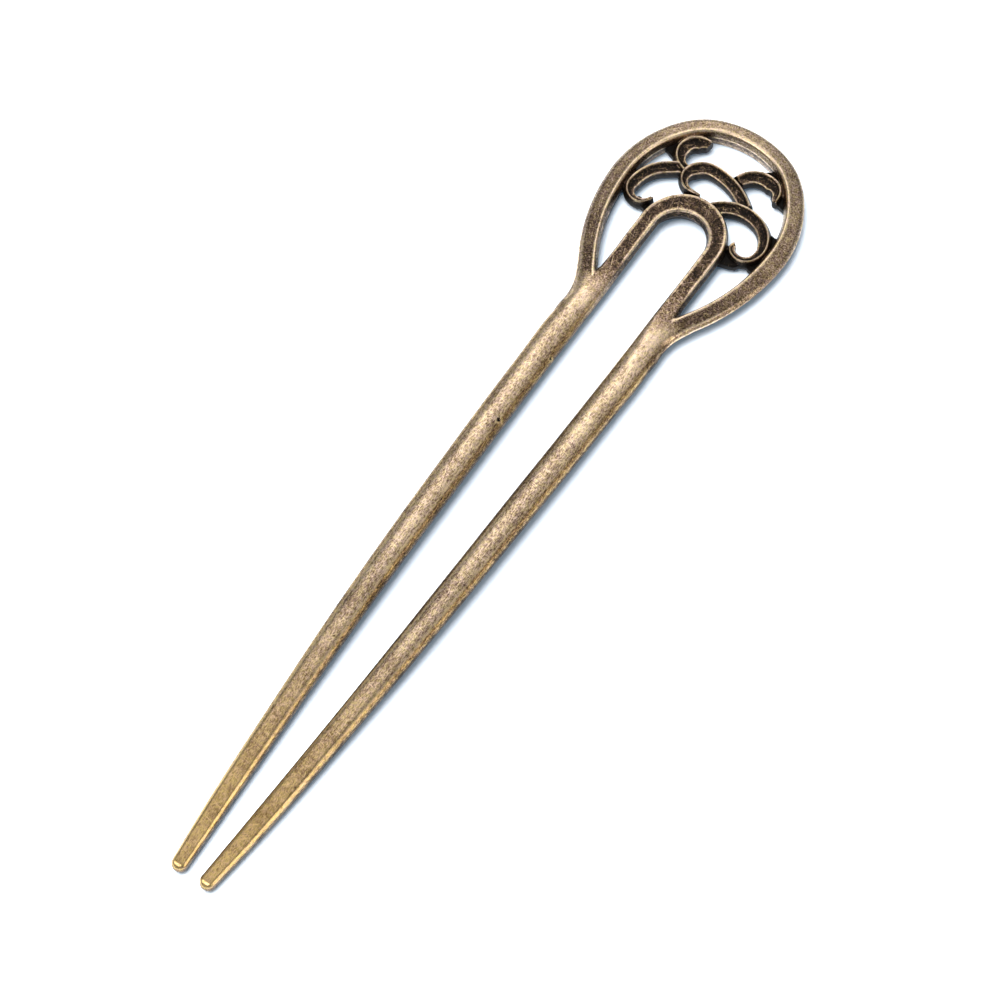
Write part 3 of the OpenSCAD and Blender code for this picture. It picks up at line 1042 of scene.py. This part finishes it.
class HAIRFORK_OT_stage(bpy.types.Operator):
    """Sets the white table, the soft studio light and the camera"""

    bl_idname = "hairfork.stage"
    bl_label = "Table, light and camera"

    def execute(self, context):
        scene = context.scene
        settings = scene.hairfork_stage
        deselect()
        bpy.ops.mesh.primitive_plane_add(size=TABLE_SIZE, location=(0, 0, 0))
        table = context.object
        table.name = "table"
        material = bpy.data.materials.new("white table")
        bench = NodeBench(material)
        shader = bench.add("ShaderNodeBsdfPrincipled", {
            "Base Color": (*TABLE_COLOUR, 1), "Roughness": 0.5,
            "Emission Color": (*TABLE_GLOW, 1), "Emission Strength": TABLE_GLOW_STRENGTH})
        bench.add("ShaderNodeOutputMaterial", {"Surface": shader.outputs["BSDF"]})
        table.data.materials.append(material)
        world = bpy.data.worlds.new("studio")
        scene.world = world
        world.use_nodes = True
        background = world.node_tree.nodes["Background"]
        background.inputs["Color"].default_value = (*SKY, 1)
        background.inputs["Strength"].default_value = SKY_STRENGTH
        for softbox in SOFTBOXES:
            add_softbox(*softbox)
        table_only = bpy.data.collections.new("lit by the table light")
        table_only.objects.link(table)
        add_softbox(*TABLE_LIGHT).light_linking.receiver_collection = table_only
        camera = bpy.data.cameras.new("camera")
        camera.lens = settings.lens
        camera.sensor_width = 36
        camera.clip_start = 0.01
        camera.clip_end = 20
        eye = bpy.data.objects.new("camera", camera)
        scene.collection.objects.link(eye)
        turn, rise = settings.azimuth, settings.elevation
        back = Vector((math.sin(turn) * math.cos(rise), -math.cos(turn) * math.cos(rise), math.sin(rise)))
        eye.location = Vector(settings.aim) + back * settings.distance
        eye.rotation_euler = (-back).to_track_quat("-Z", "Y").to_euler()
        scene.camera = eye
        scene.view_settings.view_transform = "Standard"
        scene.view_settings.look = "None"
        return {"FINISHED"}


class HAIRFORK_PT_panel(bpy.types.Panel):
    """Lists the steps that make the hair fork"""

    bl_idname = "HAIRFORK_PT_panel"
    bl_label = "Hair Fork"
    bl_space_type = "VIEW_3D"
    bl_region_type = "UI"
    bl_category = "Hair Fork"

    def draw(self, context):
        for step in STEPS:
            self.layout.operator(step.bl_idname)
        for group in ("hairfork_sizes", "hairfork_finish", "hairfork_stage"):
            settings = getattr(context.scene, group)
            for name in settings.bl_rna.properties.keys():
                if name not in ("rna_type", "name"):
                    self.layout.prop(settings, name)


STEPS = (
    HAIRFORK_OT_ring,
    HAIRFORK_OT_prongs,
    HAIRFORK_OT_scrolls,
    HAIRFORK_OT_webs,
    HAIRFORK_OT_cast,
    HAIRFORK_OT_bronze,
    HAIRFORK_OT_stage,
)
GROUPS = {
    "hairfork_sizes": HairForkSizes,
    "hairfork_finish": HairForkFinish,
    "hairfork_stage": HairForkStage,
}


def register():
    for name, group in GROUPS.items():
        bpy.utils.register_class(group)
        setattr(bpy.types.Scene, name, PointerProperty(type=group))
    for step in STEPS:
        bpy.utils.register_class(step)
    bpy.utils.register_class(HAIRFORK_PT_panel)


def unregister():
    bpy.utils.unregister_class(HAIRFORK_PT_panel)
    for step in reversed(STEPS):
        bpy.utils.unregister_class(step)
    for name, group in GROUPS.items():
        delattr(bpy.types.Scene, name)
        bpy.utils.unregister_class(group)


def main():
    register()
    for step in STEPS:
        group, name = step.bl_idname.split(".")
        getattr(getattr(bpy.ops, group), name)()


if __name__ == "__main__":
    main()
